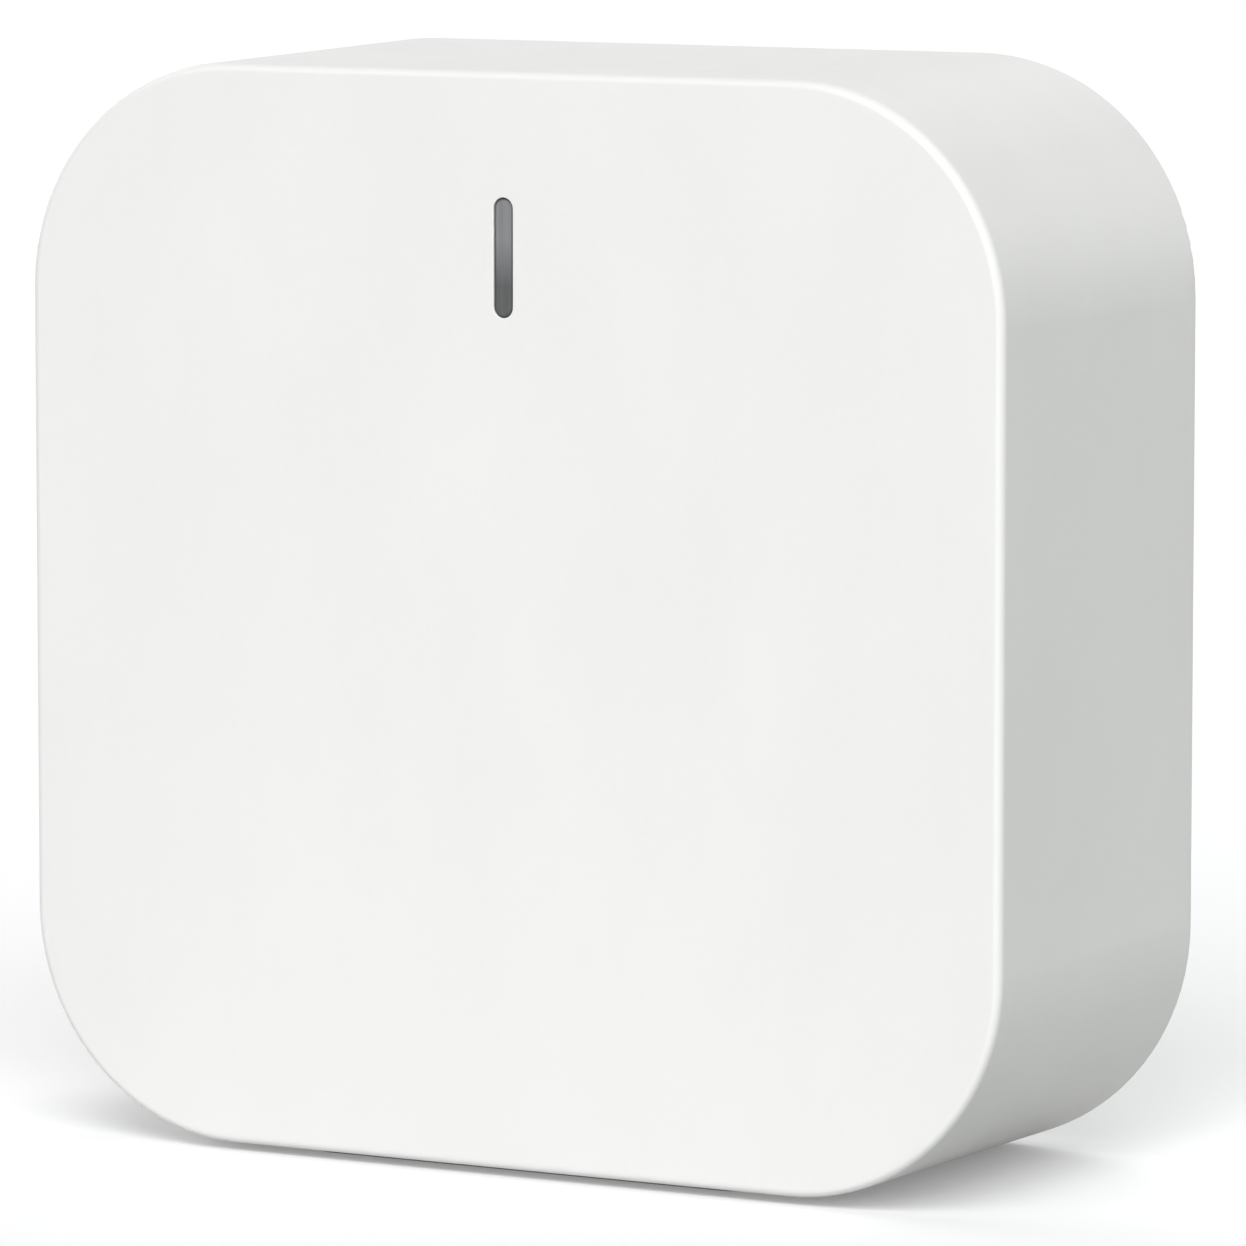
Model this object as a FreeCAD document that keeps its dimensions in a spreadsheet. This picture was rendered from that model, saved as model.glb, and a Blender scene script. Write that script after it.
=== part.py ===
"""Smart home hub: a white rounded-square box that stands on its edge, with a light bar in its front
face and its sockets, reset button and vents in its rear cover.

A FreeCAD parametric document in millimetres. +X is to the right seen from the front, the front faces
-Y and +Z is up. The origin is on the table, under the middle of the box. Every body is drawn about
its own origin: the housing's about the middle of the box, a component's about the point where it
stands on its board. The body's Placement then puts it where it belongs.
"""

import FreeCAD, Part  # FreeCAD comes first: Part crashes without it
import math
import os

import Sketcher
from FreeCAD import Rotation, Vector

doc = FreeCAD.newDocument("smart_home_hub")
dims = doc.addObject("Spreadsheet::Sheet", "dims")

DRIVING = (
    ("hub_size", 95.0, "width and height outside, at the rear rim"),
    ("hub_depth", 37.0, "front face to rear rim"),
    ("corner_radius", 20.4, "outside corners, at the rear rim"),
    ("draft_angle", 0.9, "the walls close in towards the front by this many degrees"),
    ("wall", 2.0, "front and side walls"),
    ("seat_wall", 1.2, "side walls where the rear cover sits in them"),
    ("front_edge_radius", 0.75, "edge between the front face and the sides"),
    ("rim_edge_radius", 0.6, "outer edge of the rear rim"),
    ("foot_proud", 0.15, "how far the feet hold the rear rim off the table"),
    ("fit_gap", 0.2, "gap all round between parts that drop into each other"),
    ("cover_recess", 1.0, "rear rim to the rear cover's face"),
    ("cover_plate", 1.8, "rear cover's plate"),
    ("lip_height", 3.0, "locating lip inside the side walls"),
    ("lip_wall", 1.2, "thickness of that lip"),
    ("bar_width", 1.85, "light bar in the front face"),
    ("bar_length", 10.2, "its length, with its rounded ends"),
    ("bar_height", 31.15, "its middle above the middle of the box"),
    ("bar_recess", 0.15, "lens face behind the front face"),
    ("bar_flange", 0.8, "how much further the lens reaches behind the slot, all round"),
    ("guide_length", 3.5, "light guide, front to back"),
    ("baffle_wall", 2.8, "black frame round the light guide"),
    ("led_gap", 1.1, "light guide to light board"),
    ("led_board_width", 16.0, "light board"),
    ("led_board_height", 28.0, "its height"),
    ("led_board_thickness", 1.0, "its thickness"),
    ("led_pitch", 3.4, "between the three lamps"),
    ("boss_offset", 35.5, "case screws from the middle, across and up"),
    ("boss_diameter", 6.4, "screw bosses in the front shell"),
    ("post_diameter", 8.0, "screw posts on the rear cover"),
    ("boss_end", 8.0, "rear end of the screw bosses, behind the middle of the box"),
    ("case_screw", 2.5, "case screws' thread"),
    ("case_screw_head", 4.6, "their heads"),
    ("standoff_x", 34.5, "board screws from the middle, across"),
    ("standoff_z", 24.0, "board screws from the middle, up and down"),
    ("standoff_diameter", 5.0, "board standoffs on the rear cover"),
    ("board_screw", 2.0, "board screws' thread"),
    ("board_size", 82.0, "main board, square"),
    ("board_corner", 12.0, "its corners"),
    ("board_thickness", 1.6, "its thickness"),
    ("board_rear", 0.3, "its rear side, behind the middle of the box"),
    ("bay_width", 56.0, "socket bay in the rear cover"),
    ("bay_height", 22.0, "its height"),
    ("bay_depth", 3.8, "its depth"),
    ("bay_wall", 1.5, "its side walls"),
    ("bay_floor", 2.0, "its floor"),
    ("bay_below", 26.0, "its middle below the middle of the box"),
    ("jack_x", 13.0, "network jack from the middle"),
    ("jack_width", 16.0, "network jack over its shield"),
    ("jack_height", 13.6, "the same, upwards"),
    ("jack_depth", 13.4, "board to the jack's mouth"),
    ("jack_skin", 0.3, "its shield"),
    ("jack_mouth", 11.8, "width of the plug's hole"),
    ("jack_mouth_height", 8.2, "its height"),
    ("jack_bore_depth", 11.5, "its depth"),
    ("usb_x", -14.0, "USB-C socket from the middle"),
    ("usb_width", 8.94, "USB-C shell outside"),
    ("usb_height", 3.16, "the same, upwards"),
    ("usb_skin", 0.3, "its wall"),
    ("usb_depth", 10.9, "board to the socket's mouth"),
    ("usb_pocket_width", 13.6, "hole in the bay's floor for the plug's moulding"),
    ("usb_pocket_height", 7.6, "its height"),
    ("usb_pocket_depth", 2.6, "its depth"),
    ("button_below", 6.0, "reset button's middle below the middle of the box"),
    ("button_diameter", 7.0, "reset button"),
    ("button_gap", 0.15, "clearance round it"),
    ("button_dish", 12.0, "shallow dish round it"),
    ("button_dish_depth", 0.6, "the dish's depth"),
    ("button_sleeve", 5.5, "guiding sleeve behind the plate"),
    ("switch_size", 6.0, "switch housing, square"),
    ("switch_height", 3.2, "its height without its steel cover"),
    ("plunger_diameter", 3.5, "switch plunger"),
    ("plunger_top", 7.3, "board to the plunger's tip"),
    ("vent_width", 1.4, "vent slots"),
    ("vent_length", 9.0, "their length"),
    ("vent_pitch", 3.4, "between slots"),
    ("vent_count", 11, "number of slots"),
    ("vent_above", 33.0, "their middle above the middle of the box"),
    ("label_width", 44.0, "rating label"),
    ("label_height", 16.0, "its height"),
    ("label_above", 14.0, "its middle above the middle of the box"),
    ("label_thickness", 0.15, "its thickness"),
    ("foot_length", 44.0, "silicone feet"),
    ("foot_width", 6.0, "their width"),
    ("foot_spacing", 24.0, "between the two feet"),
    ("foot_pocket", 1.0, "depth of their pockets at the rear rim"),
    ("can_width", 36.0, "screening can over the processor"),
    ("can_height", 30.0, "the same, upwards"),
    ("can_depth", 2.6, "board to the can's lid"),
    ("can_below", 10.0, "its middle below the middle of the box"),
    ("sink_size", 34.0, "heat sink, square"),
    ("sink_base", 1.6, "its base"),
    ("sink_fin", 5.0, "its fins' height"),
    ("ribbon_width", 5.0, "flat cable between the two boards"),
    ("ribbon_skin", 0.3, "its thickness"),
    ("ribbon_inset", 0.8, "its legs off the two boards"),
    ("ribbon_low", 12.0, "its half turn above the middle of the box"),
    ("ribbon_light_end", 17.6, "its end at the light board, the same"),
    ("ribbon_board_end", 14.6, "its end at the main board, the same"),
    ("lead_diameter", 1.13, "antenna lead"),
    ("lead_bend", 4.5, "the radius of its bend"),
    ("lead_above", 3.0, "its middle above the middle of the box"),
    ("lead_standoff", 1.3, "its middle off the main board"),
    ("lead_plug", 30.0, "its plug from the middle, to the left"),
    ("lead_end", 10.0, "its end at the foil, in front of the middle of the box"),
)
for row, (alias, value, meaning) in enumerate(DRIVING, start=1):
    dims.set(f"A{row}", meaning)
    dims.set(f"B{row}", str(value))
    dims.setAlias(f"B{row}", alias)
doc.recompute()

HALF_DEPTH = "dims.hub_depth / 2"
MIDDLE = "dims.hub_size / 2 + dims.foot_proud"
INNER_FRONT = "-dims.hub_depth / 2 + dims.wall"
COVER_FACE = "dims.hub_depth / 2 - dims.cover_recess"
COVER_BACK = f"{COVER_FACE} - dims.cover_plate"
BAY_FACE = f"{COVER_FACE} - dims.bay_depth"
USB_FLOOR = f"{BAY_FACE} - dims.usb_pocket_depth"
BOARD_FRONT = "dims.board_rear - dims.board_thickness"
LENS_BACK = f"{INNER_FRONT} - 0.1"
GUIDE_BACK = f"{LENS_BACK} + dims.guide_length"
LED_BOARD_FRONT = f"{GUIDE_BACK} + dims.led_gap"
LED_BOARD_REAR = f"{LED_BOARD_FRONT} + dims.led_board_thickness"
LED_BOARD_ABOVE = "dims.bar_height - 5"
CORNERS = ((1, 1), (-1, 1), (-1, -1), (1, -1))

pieces = []


def number(expression):
    """An expression's value, in millimetres, degrees or as a plain count."""
    found = dims.evalExpression(str(expression))
    return float(getattr(found, "Value", found))


# Sketched outlines. Each one is centred on its sketch's own origin, and the sketch's attachment offset
# puts it in place, so an outline needs only the constraints for its size.


def name_size(sketch, index, name, expression):
    sketch.renameConstraint(index, name)
    sketch.setExpression(f"Constraints.{name}", str(expression))


def join(sketch, lines, kind):
    """Joins each segment's end to the next one's start, right round."""
    for here, after in zip(lines, lines[1:] + lines[:1]):
        sketch.addConstraint(Sketcher.Constraint(kind, here, 2, after, 1))


def rectangle(width, height, tag=""):
    def draw(sketch):
        w, h = number(width) / 2, number(height) / 2
        corners = [Vector(-w, -h), Vector(w, -h), Vector(w, h), Vector(-w, h)]
        ends = corners[1:] + corners[:1]
        lines = [sketch.addGeometry(Part.LineSegment(a, b)) for a, b in zip(corners, ends)]
        join(sketch, lines, "Coincident")
        for line, direction in zip(lines, ("Horizontal", "Vertical") * 2):
            sketch.addConstraint(Sketcher.Constraint(direction, line))
        sketch.addConstraint(Sketcher.Constraint("Symmetric", lines[0], 1, lines[2], 1, -1, 1))
        across = Sketcher.Constraint("DistanceX", lines[0], 1, lines[0], 2, 2 * w)
        name_size(sketch, sketch.addConstraint(across), f"width{tag}", width)
        upwards = Sketcher.Constraint("DistanceY", lines[1], 1, lines[1], 2, 2 * h)
        name_size(sketch, sketch.addConstraint(upwards), f"height{tag}", height)

    return draw


def rounded(width, height, radius, tag=""):
    """A rectangle with four equal round corners."""

    def draw(sketch):
        w, h, r = number(width) / 2, number(height) / 2, number(radius)
        sides = (
            (Vector(r - w, -h), Vector(w - r, -h)),
            (Vector(w, r - h), Vector(w, h - r)),
            (Vector(w - r, h), Vector(r - w, h)),
            (Vector(-w, h - r), Vector(-w, r - h)),
        )
        middles = (Vector(w - r, r - h), Vector(w - r, h - r), Vector(r - w, h - r), Vector(r - w, r - h))
        lines = []
        for turn, (ends, middle) in enumerate(zip(sides, middles)):
            lines.append(sketch.addGeometry(Part.LineSegment(*ends)))
            whole = Part.Circle(middle, Vector(0, 0, 1), r)
            begin = (turn - 1) * math.pi / 2
            lines.append(sketch.addGeometry(Part.ArcOfCircle(whole, begin, begin + math.pi / 2)))
        join(sketch, lines, "Tangent")
        sketch.addConstraint(Sketcher.Constraint("Horizontal", lines[0]))
        sketch.addConstraint(Sketcher.Constraint("Vertical", lines[2]))
        for arc in lines[3::2]:
            sketch.addConstraint(Sketcher.Constraint("Equal", lines[1], arc))
        sketch.addConstraint(Sketcher.Constraint("Symmetric", lines[0], 1, lines[4], 1, -1, 1))
        across = Sketcher.Constraint("DistanceX", lines[6], 1, lines[2], 1, 2 * w)
        name_size(sketch, sketch.addConstraint(across), f"width{tag}", width)
        upwards = Sketcher.Constraint("DistanceY", lines[0], 1, lines[4], 1, 2 * h)
        name_size(sketch, sketch.addConstraint(upwards), f"height{tag}", height)
        corner = Sketcher.Constraint("Radius", lines[1], r)
        name_size(sketch, sketch.addConstraint(corner), f"radius{tag}", radius)

    return draw


def circle(diameter, tag=""):
    def draw(sketch):
        ring = sketch.addGeometry(Part.Circle(Vector(), Vector(0, 0, 1), number(diameter) / 2))
        sketch.addConstraint(Sketcher.Constraint("Coincident", ring, 3, -1, 1))
        size = Sketcher.Constraint("Diameter", ring, number(diameter))
        name_size(sketch, sketch.addConstraint(size), f"diameter{tag}", diameter)

    return draw


def slot(length, width, upright=True, tag=""):
    """Two parallel sides joined by half circles, longer upwards or across."""

    def draw(sketch):
        r, reach = number(width) / 2, (number(length) - number(width)) / 2
        turn = Rotation(Vector(0, 0, 1), 90 if upright else 0)
        angle = math.pi / 2 if upright else 0

        def point(x, y):
            return turn.multVec(Vector(x, y, 0))

        lines = []
        for side in (-1, 1):
            edge = Part.LineSegment(point(side * reach, side * r), point(-side * reach, side * r))
            lines.append(sketch.addGeometry(edge))
            whole = Part.Circle(point(-side * reach, 0), Vector(0, 0, 1), r)
            begin = angle + side * math.pi / 2
            lines.append(sketch.addGeometry(Part.ArcOfCircle(whole, begin, begin + math.pi)))
        join(sketch, lines, "Tangent")
        sketch.addConstraint(Sketcher.Constraint("Vertical" if upright else "Horizontal", lines[0]))
        sketch.addConstraint(Sketcher.Constraint("Equal", lines[1], lines[3]))
        sketch.addConstraint(Sketcher.Constraint("Symmetric", lines[1], 3, lines[3], 3, -1, 1))
        size = Sketcher.Constraint("Radius", lines[1], r)
        name_size(sketch, sketch.addConstraint(size), f"radius{tag}", f"({width}) / 2")
        side = Sketcher.Constraint("Distance", lines[0], 1, lines[0], 2, 2 * reach)
        name_size(sketch, sketch.addConstraint(side), f"side{tag}", f"({length}) - ({width})")

    return draw


def polygon(points):
    """A closed outline through points whose two coordinates are expressions."""

    def draw(sketch):
        at = [Vector(number(x), number(y)) for x, y in points]
        pairs = zip(at, at[1:] + at[:1])
        lines = [sketch.addGeometry(Part.LineSegment(a, b)) for a, b in pairs]
        join(sketch, lines, "Coincident")
        for index, (line, (x, y), corner) in enumerate(zip(lines, points, at)):
            for axis, kind, expression, place in (
                ("x", "DistanceX", x, corner.x),
                ("y", "DistanceY", y, corner.y),
            ):
                ends = (line, 1, -1, 1) if place < 0 else (-1, 1, line, 1)
                size = sketch.addConstraint(Sketcher.Constraint(kind, *ends, abs(place)))
                signed = f"-({expression})" if place < 0 else expression
                name_size(sketch, size, f"{axis}{index}", signed)

    return draw


class Piece:
    """One sub-part: a PartDesign body whose label names its file."""

    def __init__(self, name, x="0", y="0", z="0"):
        self.body = doc.addObject("PartDesign::Body", name)
        self.body.Label = name
        self.origin = {feature.Role: feature for feature in self.body.Origin.OriginFeatures}
        self.count = 0
        for axis, expression in (("x", x), ("y", y), ("z", f"{MIDDLE} + ({z})")):
            self.body.setExpression(f"Placement.Base.{axis}", expression)
        pieces.append(self.body)

    def sketch(self, outlines, x, y, z, plane="XZ_Plane"):
        """Outlines on a plane parallel to an origin plane, through the point x, y, z."""
        self.count += 1
        made = self.body.newObject("Sketcher::SketchObject", f"{self.body.Name}_outline{self.count}")
        made.AttachmentSupport = [(self.origin[plane], "")]
        made.MapMode = "FlatFace"
        offset = {
            "XZ_Plane": (x, z, f"-({y})"),
            "XY_Plane": (x, y, z),
            "YZ_Plane": (y, z, x),
        }[plane]
        for axis, expression in zip("xyz", offset):
            made.setExpression(f"AttachmentOffset.Base.{axis}", str(expression))
        for outline in outlines:
            outline(made)
        return made

    def volume(self):
        return self.body.Tip.Shape.Volume if self.body.Tip else 0.0

    def extrude(self, kind, outlines, length, x, y, z, plane, forwards, taper):
        before = self.volume()
        profile = self.sketch(outlines, x, y, z, plane)
        made = self.body.newObject(f"PartDesign::{kind}", f"{profile.Name}_{kind.lower()}")
        made.Profile = profile
        made.setExpression("Length", str(length))
        along_normal = forwards == (plane != "XZ_Plane")
        made.Reversed = along_normal == (kind == "Pocket")
        if taper:
            made.setExpression("TaperAngle", str(taper))
        doc.recompute()
        changed = self.volume() - before
        if (changed > 0) != (kind == "Pad"):
            raise ValueError(f"{made.Name} changes the volume by {changed:.3f}")
        return made

    def pad(self, outlines, length, x="0", y="0", z="0", plane="XZ_Plane", forwards=True, taper=None):
        """Adds material along the plane's axis, towards plus (forwards) or minus."""
        return self.extrude("Pad", outlines, length, x, y, z, plane, forwards, taper)

    def cut(self, outlines, length, x="0", y="0", z="0", plane="XZ_Plane", forwards=True, taper=None):
        """Removes material along the plane's axis, towards plus (forwards) or minus."""
        return self.extrude("Pocket", outlines, length, x, y, z, plane, forwards, taper)

    def revolve(self, points):
        """Turns an outline, given as (radius, y) points, about the body's Y axis."""
        profile = self.sketch([polygon(points)], "0", "0", "0", "XY_Plane")
        made = self.body.newObject("PartDesign::Revolution", f"{profile.Name}_turned")
        made.Profile = profile
        made.ReferenceAxis = (self.origin["Y_Axis"], [""])
        made.Angle = 360
        doc.recompute()
        return made

    def soften(self, kind, size, chosen):
        """Fillets or chamfers the edges of the present shape that chosen(edge) picks."""
        base = self.body.Tip
        edges = [f"Edge{i}" for i, edge in enumerate(base.Shape.Edges, start=1) if chosen(edge)]
        made = self.body.newObject(f"PartDesign::{kind}", f"{base.Name}_{kind.lower()}")
        made.Base = (base, edges)
        made.setExpression("Radius" if kind == "Fillet" else "Size", str(size))
        doc.recompute()
        return made

    def repeat(self, axis, spacing, count):
        """Repeats the whole shape in a row that starts where it was drawn."""
        made = self.body.newObject("PartDesign::LinearPattern", f"{self.body.Name}_along_{axis[0]}")
        made.TransformMode = "Whole shape"
        made.Direction = (self.origin[axis], [""])
        made.Mode = "Spacing"
        made.setExpression("Offset", str(spacing))
        made.setExpression("Occurrences", str(count))
        self.body.Tip = made
        doc.recompute()
        return made

    def mirror(self, *planes):
        """Adds the whole shape's mirror image in each plane in turn."""
        for plane in planes:
            made = self.body.newObject("PartDesign::Mirrored", f"{self.body.Name}_mirror_{plane[:2]}")
            made.TransformMode = "Whole shape"
            made.MirrorPlane = (self.origin[plane], [""])
            self.body.Tip = made
            doc.recompute()


def lies_at_y(y):
    """Picks the edges that lie in the plane at y."""

    def chosen(edge):
        box = edge.BoundBox
        return abs(box.YMin - number(y)) < 1e-4 and abs(box.YMax - number(y)) < 1e-4

    return chosen


def runs_along_y(edge):
    """Whether an edge is straight and along Y."""
    box = edge.BoundBox
    return box.YLength > 1e-3 and box.XLength < 1e-4 and box.ZLength < 1e-4


# The housing.


def make_front_shell():
    shell = Piece("front_shell")
    outside = rounded("dims.hub_size", "dims.hub_size", "dims.corner_radius")
    shell.pad([outside], "dims.hub_depth", y=HALF_DEPTH, forwards=False, taper="-dims.draft_angle")
    shell.soften("Fillet", "dims.front_edge_radius", lies_at_y(f"-{HALF_DEPTH}"))
    shell.soften("Fillet", "dims.rim_edge_radius", lies_at_y(HALF_DEPTH))
    inside = "dims.hub_size - 2 * dims.wall"
    hollow = rounded(inside, inside, "dims.corner_radius - dims.wall")
    shell.cut([hollow], "dims.hub_depth - dims.wall", y=HALF_DEPTH, forwards=False,
              taper="-dims.draft_angle")
    seat = "dims.hub_size - 2 * dims.seat_wall"
    rebate = rounded(seat, seat, "dims.corner_radius - dims.seat_wall")
    shell.cut([rebate], "dims.cover_recess + dims.cover_plate", y=HALF_DEPTH, forwards=False)
    add_screw_bosses(shell)
    add_light_bar_seat(shell)
    for side in (-1, 1):
        pocket = slot("dims.foot_length + 2 * dims.fit_gap", "dims.foot_width + 2 * dims.fit_gap",
                      upright=False)
        shell.cut([pocket], "dims.foot_pocket", y=f"{side} * dims.foot_spacing / 2",
                  z="-dims.hub_size / 2", plane="XY_Plane")


def add_screw_bosses(shell):
    """Four bosses for the case screws, each with two ribs out to the walls."""
    length = f"dims.boss_end - ({INNER_FRONT})"
    reach = "dims.hub_size / 2 - dims.wall - dims.boss_offset - 1"
    for sx, sz in CORNERS:
        x, z = f"{sx} * dims.boss_offset", f"{sz} * dims.boss_offset"
        shell.pad([circle("dims.boss_diameter")], length, x=x, y=INNER_FRONT, z=z)
        shell.pad([rectangle(reach, "1.2")], f"{length} - 3", x=f"{x} + {sx} * ({reach}) / 2",
                  y=INNER_FRONT, z=z)
        shell.pad([rectangle("1.2", reach)], f"{length} - 3", x=x, y=INNER_FRONT,
                  z=f"{z} + {sz} * ({reach}) / 2")
        shell.cut([circle("dims.case_screw + 0.1")], "11", x=x, y="dims.boss_end", z=z, forwards=False)


def add_light_bar_seat(shell):
    """The slot in the front face, the pocket for the lens flange, the fence and the board bosses."""
    above = "dims.bar_height"
    shell.cut([slot("dims.bar_length", "dims.bar_width")], "dims.wall", y=f"-{HALF_DEPTH}", z=above)
    shell.soften("Fillet", "0.1", lambda edge: lies_at_y(f"-{HALF_DEPTH}")(edge)
                 and edge.BoundBox.XLength < number("dims.bar_width") + 0.01)
    flange = slot("dims.bar_length + 2 * dims.bar_flange + 0.2",
                  "dims.bar_width + 2 * dims.bar_flange + 0.2")
    shell.cut([flange], "dims.wall / 2", y=INNER_FRONT, z=above, forwards=False)
    width = "dims.bar_width + 2 * dims.bar_flange + 2 * dims.baffle_wall + 0.4"
    height = "dims.bar_length + 2 * dims.bar_flange + 2 * dims.baffle_wall + 0.4"
    fence = [rectangle(width, height), rectangle(f"{width} + 2", f"{height} + 2", tag="_outside")]
    shell.pad(fence, "2.5", y=INNER_FRONT, z=above)
    low = f"{LED_BOARD_ABOVE} - dims.led_board_height / 2 + 3"
    length = f"{LED_BOARD_FRONT} - ({INNER_FRONT})"
    for side in (-1, 1):
        x = f"{side} * (dims.led_board_width / 2 - 3)"
        shell.pad([circle("4.4")], length, x=x, y=INNER_FRONT, z=low)
        shell.cut([circle("dims.board_screw + 0.1")], length, x=x, y=LED_BOARD_FRONT, z=low,
                  forwards=False)


def make_rear_cover():
    cover = Piece("rear_cover")
    size = "dims.hub_size - 2 * dims.seat_wall - 2 * dims.fit_gap"
    plate = rounded(size, size, "dims.corner_radius - dims.seat_wall - dims.fit_gap")
    cover.pad([plate], "dims.cover_plate", y=COVER_FACE, forwards=False)
    cover.soften("Chamfer", "0.3", lies_at_y(COVER_FACE))
    outer, radius = "dims.hub_size - 2 * dims.wall - 0.8", "dims.corner_radius - dims.wall - 0.4"
    lip = [
        rounded(outer, outer, radius),
        rounded(f"{outer} - 2 * dims.lip_wall", f"{outer} - 2 * dims.lip_wall",
                f"{radius} - dims.lip_wall", tag="_inside"),
    ]
    cover.pad(lip, "dims.lip_height", y=COVER_BACK, forwards=False)
    add_socket_bay(cover)
    add_cover_posts(cover)
    add_button_guide(cover)
    middle_slot = "(dims.vent_count - 1) / 2"
    for index in range(int(number("dims.vent_count"))):
        cover.cut([slot("dims.vent_length", "dims.vent_width")], "dims.cover_plate",
                  x=f"({index} - {middle_slot}) * dims.vent_pitch", y=COVER_FACE, z="dims.vent_above",
                  forwards=False)
    label_seat = rounded("dims.label_width + 0.6", "dims.label_height + 0.6", "1.8")
    cover.cut([label_seat], "dims.label_thickness + 0.05", y=COVER_FACE, z="dims.label_above",
              forwards=False)


def add_socket_bay(cover):
    """The sunk bay with the network jack's opening and the deeper USB-C pocket."""
    below = "-dims.bay_below"
    block = rounded("dims.bay_width + 2 * dims.bay_wall", "dims.bay_height + 2 * dims.bay_wall", "5.5")
    cover.pad([block], f"{COVER_BACK} - ({BAY_FACE}) + dims.bay_floor", y=COVER_BACK, z=below,
              forwards=False)
    pocket_wall = "dims.usb_pocket_depth - dims.bay_floor + 1.6"
    pocket_block = rectangle("dims.usb_pocket_width + 3", "dims.usb_pocket_height + 3")
    cover.pad([pocket_block], pocket_wall, x="dims.usb_x", y=f"{BAY_FACE} - dims.bay_floor", z=below,
              forwards=False)
    bay = rounded("dims.bay_width", "dims.bay_height", "4")
    cover.cut([bay], "dims.bay_depth", y=COVER_FACE, z=below, forwards=False)
    opening = rectangle("dims.jack_width + 0.5", "dims.jack_height + 0.5")
    cover.cut([opening], "dims.bay_floor", x="dims.jack_x", y=BAY_FACE, z=below, forwards=False)
    pocket = rounded("dims.usb_pocket_width", "dims.usb_pocket_height", "3")
    cover.cut([pocket], "dims.usb_pocket_depth", x="dims.usb_x", y=BAY_FACE, z=below, forwards=False)
    mouth = slot("dims.usb_width + 0.3", "dims.usb_height + 0.3", upright=False)
    cover.cut([mouth], "1.6", x="dims.usb_x", y=USB_FLOOR, z=below, forwards=False)


def add_cover_posts(cover):
    """Posts for the four case screws, and standoffs for the four board screws."""
    head_seat = "dims.boss_end + 2.1"
    for sx, sz in CORNERS:
        x, z = f"{sx} * dims.boss_offset", f"{sz} * dims.boss_offset"
        cover.pad([circle("dims.post_diameter")], f"{COVER_BACK} - dims.boss_end - 0.1", x=x,
                  y=COVER_BACK, z=z, forwards=False)
        cover.cut([circle("dims.case_screw_head + 0.6")], f"{COVER_FACE} - ({head_seat})", x=x,
                  y=COVER_FACE, z=z, forwards=False)
        cover.cut([circle("dims.case_screw + 0.5")], "2.1", x=x, y=head_seat, z=z, forwards=False)
        x, z = f"{sx} * dims.standoff_x", f"{sz} * dims.standoff_z"
        cover.pad([circle("dims.standoff_diameter")], f"{COVER_BACK} - dims.board_rear", x=x,
                  y=COVER_BACK, z=z, forwards=False)
        cover.cut([circle("dims.board_screw + 0.1")], "7", x=x, y="dims.board_rear", z=z)


def add_button_guide(cover):
    below = "-dims.button_below"
    hole = circle("dims.button_diameter + 2 * dims.button_gap")
    cover.pad([circle("dims.button_diameter + 3")], "dims.button_sleeve", y=COVER_BACK, z=below,
              forwards=False)
    cover.cut([circle("dims.button_dish")], "dims.button_dish_depth", y=COVER_FACE, z=below,
              forwards=False)
    cover.cut([hole], "dims.cover_plate + dims.button_sleeve", y=COVER_FACE, z=below, forwards=False)


def make_feet():
    for name, side in (("front_foot", -1), ("rear_foot", 1)):
        foot = Piece(name, y=f"{side} * dims.foot_spacing / 2", z="-dims.hub_size / 2")
        pad = slot("dims.foot_length", "dims.foot_width", upright=False)
        foot.pad([pad], "dims.foot_pocket + dims.foot_proud", z="-dims.foot_proud", plane="XY_Plane")
        foot.soften("Fillet", "0.25", lambda edge: edge.BoundBox.ZMax < number("-dims.foot_proud") + 1e-4)


def make_rating_label():
    label = Piece("rating_label", y=f"{COVER_FACE} - 0.05", z="dims.label_above")
    label.pad([rounded("dims.label_width", "dims.label_height", "1.5")], "dims.label_thickness",
              forwards=False)


# The light bar, front to back: lens, guide in its black frame, lamps on their board.


def make_light_bar():
    above = "dims.bar_height"
    lens = Piece("light_bar_lens", y=f"-{HALF_DEPTH}", z=above)
    window = slot("dims.bar_length - 0.1", "dims.bar_width - 0.1")
    lens.pad([window], "dims.wall / 2 - dims.bar_recess", y="dims.bar_recess")
    flange = slot("dims.bar_length + 2 * dims.bar_flange", "dims.bar_width + 2 * dims.bar_flange")
    lens.pad([flange], "dims.wall / 2 - 0.1", y="dims.wall / 2")
    lens.soften("Fillet", "0.1", lies_at_y("dims.bar_recess"))

    guide = Piece("light_guide", y=LENS_BACK, z=above)
    width, height = "dims.bar_width + 2 * dims.bar_flange", "dims.bar_length + 2 * dims.bar_flange"
    guide.pad([slot(height, width)], "dims.guide_length")

    baffle = Piece("light_baffle", y=INNER_FRONT, z=above)
    frame = [
        rectangle(f"{width} + 2 * dims.baffle_wall", f"{height} + 2 * dims.baffle_wall"),
        slot(f"{height} + 0.2", f"{width} + 0.2", tag="_inside"),
    ]
    baffle.pad(frame, f"{LED_BOARD_FRONT} - ({INNER_FRONT})")


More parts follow.
